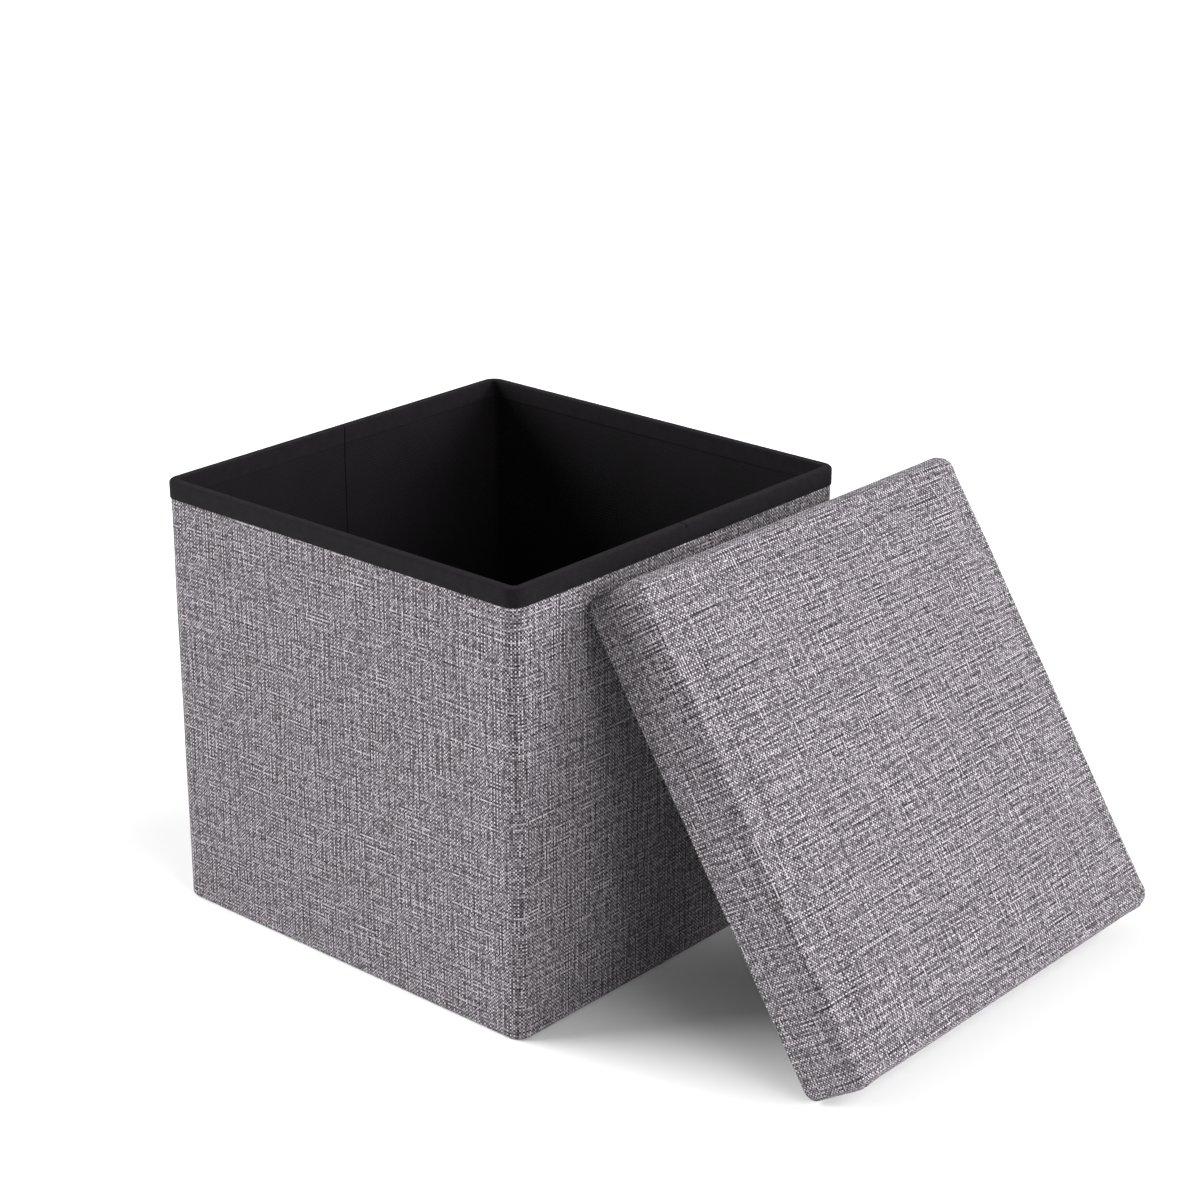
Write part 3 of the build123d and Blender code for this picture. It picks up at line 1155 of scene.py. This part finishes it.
    def shape(self, vert):
        """Puts one point of the cushion where the sewn and stretched cloth holds it."""
        x, y, z = vert.co
        free = min(1.0, max(0.0, (z - 0.007) / 0.02))
        vert.co.z += noise.noise(Vector((x, y, z)) / 0.07) * 0.0007 * free
        corner_x, corner_y = LID_HALF - abs(x), LID_HALF - abs(y)
        near = max(0.0, 1 - (corner_x + corner_y) / 0.030)
        if near > 0 and z > 0.001:
            tuck = math.exp(-((corner_x - corner_y + 0.007) / 0.0014) ** 2)
            pull = 0.0009 * tuck * min(1.0, near * 3) * min(1.0, z / 0.004)
            vert.co.x -= math.copysign(pull, x)
            vert.co.y -= math.copysign(pull, y)

    def weave(self, bm, sizes):
        """The weave runs over the top and down each side as one cloth, and turns at the corner tucks."""
        weave = bm.loops.layers.uv.new("cloth")
        for face in bm.faces:
            middle = face.calc_center_median()
            on_x = abs(middle.x) > abs(middle.y)
            for loop in face.loops:
                x, y, z = loop.vert.co
                over = max(0.0, sizes.cushion_height - z)
                if face.normal.z < -0.7:
                    over += 2 * (LID_HALF - max(abs(x), abs(y)))
                if on_x:
                    loop[weave].uv = (math.copysign(abs(x) + over, x), y)
                else:
                    loop[weave].uv = (x, math.copysign(abs(y) + over, y))

    def padding(self, sizes):
        """The block of foam between the board and the cover."""
        half = LID_BOARD / 2 - 0.004
        low = Vector((-half, -half, DUST_T + LID_BOARD_T))
        high = Vector((half, half, sizes.cushion_height - 0.005))
        bm = boxed(low, high, 0.010, 4)
        piece = to_piece(bm, "foam_block", ["foam"])
        piece.data.transform(LID_PLACE)
        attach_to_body(piece, "lid")
        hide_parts("lid_foam")


class OTTOMAN_OT_underside(bpy.types.Operator):
    """Makes the dust cover and the hand stitches on the underside of the lid"""

    bl_idname = "ottoman.underside"
    bl_label = "Lid Underside"

    def execute(self, context):
        self.dust_cover()
        self.stitches()
        return {"FINISHED"}

    def dust_cover(self):
        half = DUST_COVER / 2
        bm = bmesh.new()
        bmesh.ops.create_grid(bm, x_segments=48, y_segments=48, size=half)
        bmesh.ops.reverse_faces(bm, faces=bm.faces)
        for vert in bm.verts:
            edge = half - max(abs(vert.co.x), abs(vert.co.y))
            vert.co.z = 0.0003 + 0.0002 * noise.noise(vert.co / 0.03) * min(1.0, edge / 0.01)
        bm.normal_update()
        flat_weave(bm)
        piece = to_piece(bm, "dust_cover_cloth", ["wrap"])
        piece.data.transform(LID_PLACE)
        thicken(piece, DUST_T * 0.6)
        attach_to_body(piece, "lid")
        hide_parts("lid_dust_cover")

    def stitches(self):
        """Slip stitches round the dust cover: two threads on the upper edge, and the other three sides."""
        pitch = settings().sizes.stitch
        half = DUST_COVER / 2 + 0.0008
        along_x, along_y = Vector((1, 0, 0)), Vector((0, 1, 0))
        for letter in "ab":
            node = f"lid_seam_thread_{letter}"
            low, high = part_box(node)
            axis = (low + high) / 2
            count = int((high.y - low.y) / pitch)
            gap = (high.y - low.y) / count
            places = [Vector((axis.x, low.y + (i + 0.5) * gap, axis.z)) for i in range(count)]
            piece = stitch_row(places, along_y, pitch * 0.94, 0.0005, f"seam_stitches_{letter}", "thread")
            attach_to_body(piece, f"lid_seam_{letter}")
            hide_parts(node)
        count = int(2 * half / pitch)
        steps = [(i + 0.5) * 2 * half / count - half for i in range(count)]
        rows = [
            ("seam_stitches_foot", [Vector((half, step, DUST_T / 2)) for step in steps], along_y),
            ("seam_stitches_near", [Vector((step, -half, DUST_T / 2)) for step in steps], along_x),
            ("seam_stitches_far", [Vector((step, half, DUST_T / 2)) for step in steps], along_x),
        ]
        for name, places, way in rows:
            piece = stitch_row(places, way, pitch * 0.94, 0.0005, name, "thread")
            piece.data.transform(LID_PLACE)
            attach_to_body(piece, "lid")


class OTTOMAN_OT_boards(bpy.types.Operator):
    """Gives the boards and staples that stay as they are their finishes"""

    bl_idname = "ottoman.boards"
    bl_label = "Boards and Staples"

    def execute(self, context):
        for name, node in frame["nodes"].items():
            finish = "board" if name.endswith("_board") else "wire" if name == "lid_staples" else None
            if finish is None:
                continue
            for slot in node.material_slots:
                slot.link = "OBJECT"
                slot.material = finish_of(finish)
        return {"FINISHED"}


# ---------------------------------------------------------------- studio
def direction(azimuth, elevation):
    """From the ottoman towards a place round it, where azimuth 0 is in front."""
    return Vector((math.sin(azimuth) * math.cos(elevation), -math.cos(azimuth) * math.cos(elevation),
                   math.sin(elevation)))


class OTTOMAN_OT_studio(bpy.types.Operator):
    """Makes the pale floor, the soft lights and the camera"""

    bl_idname = "ottoman.studio"
    bl_label = "Studio"

    def execute(self, context):
        setup = settings().studio
        scene = context.scene
        scene.view_settings.view_transform = "Standard"
        self.floor()
        self.surroundings(scene, setup.sky)
        self.soft_light("left_light", -60, setup.left)
        self.soft_light("right_light", 90, setup.right)
        self.soft_light("rear_light", 135, setup.behind)
        self.camera(scene, setup)
        return {"FINISHED"}

    def floor(self):
        bm = bmesh.new()
        bmesh.ops.create_grid(bm, x_segments=8, y_segments=8, size=15.0)
        bmesh.ops.translate(bm, verts=bm.verts, vec=(0, 0, -0.0002))
        piece = to_piece(bm, "floor", ["floor"])

    def surroundings(self, scene, strength):
        world = bpy.data.worlds.new("white_room")
        world.use_nodes = True
        back = world.node_tree.nodes["Background"]
        back.inputs["Color"].default_value = (1.0, 1.0, 1.0, 1.0)
        back.inputs["Strength"].default_value = strength
        scene.world = world

    def soft_light(self, name, azimuth, strength):
        """A very broad light, low down, from an angle round the ottoman that starts at its front."""
        data = bpy.data.lights.new(name, "SUN")
        data.angle = math.radians(50)
        data.energy = strength * math.pi
        light = bpy.data.objects.new(name, data)
        back = direction(math.radians(azimuth), math.radians(20))
        light.rotation_euler = back.to_track_quat("Z", "Y").to_euler()
        bpy.context.scene.collection.objects.link(light)

    def camera(self, scene, setup):
        data = bpy.data.cameras.new("camera")
        data.lens = setup.lens
        data.sensor_width = 36.0
        camera = bpy.data.objects.new("camera", data)
        back = direction(setup.azimuth, setup.elevation)
        camera.location = Vector(setup.target) + back * setup.distance
        camera.rotation_euler = back.to_track_quat("Z", "Y").to_euler()
        scene.collection.objects.link(camera)
        scene.camera = camera


class OttomanSettings(bpy.types.PropertyGroup):
    sizes: bpy.props.PointerProperty(type=OttomanSizes)
    colours: bpy.props.PointerProperty(type=OttomanColours)
    studio: bpy.props.PointerProperty(type=StudioSetup)


STEPS = (OTTOMAN_OT_studio, OTTOMAN_OT_boards, OTTOMAN_OT_cover, OTTOMAN_OT_lining, OTTOMAN_OT_tape,
         OTTOMAN_OT_hems, OTTOMAN_OT_base, OTTOMAN_OT_cushion, OTTOMAN_OT_underside)


class OTTOMAN_PT_panel(bpy.types.Panel):
    """Lists the ottoman's parts in the order that they are made"""

    bl_label = "Storage Ottoman"
    bl_idname = "OTTOMAN_PT_panel"
    bl_space_type = "VIEW_3D"
    bl_region_type = "UI"
    bl_category = "Ottoman"

    def draw(self, context):
        for step in STEPS:
            self.layout.operator(step.bl_idname)
        for group in (settings().sizes, settings().colours, settings().studio):
            box = self.layout.box()
            for name in group.__annotations__:
                box.prop(group, name)


CLASSES = (OttomanSizes, OttomanColours, StudioSetup, OttomanSettings, *STEPS, OTTOMAN_PT_panel)


def register():
    for cls in CLASSES:
        bpy.utils.register_class(cls)
    bpy.types.Scene.ottoman = bpy.props.PointerProperty(type=OttomanSettings)


def unregister():
    del bpy.types.Scene.ottoman
    for cls in reversed(CLASSES):
        bpy.utils.unregister_class(cls)


def main():
    register()
    for step in STEPS:
        group, name = step.bl_idname.split(".")
        getattr(getattr(bpy.ops, group), name)()


if __name__ == "__main__":
    main()
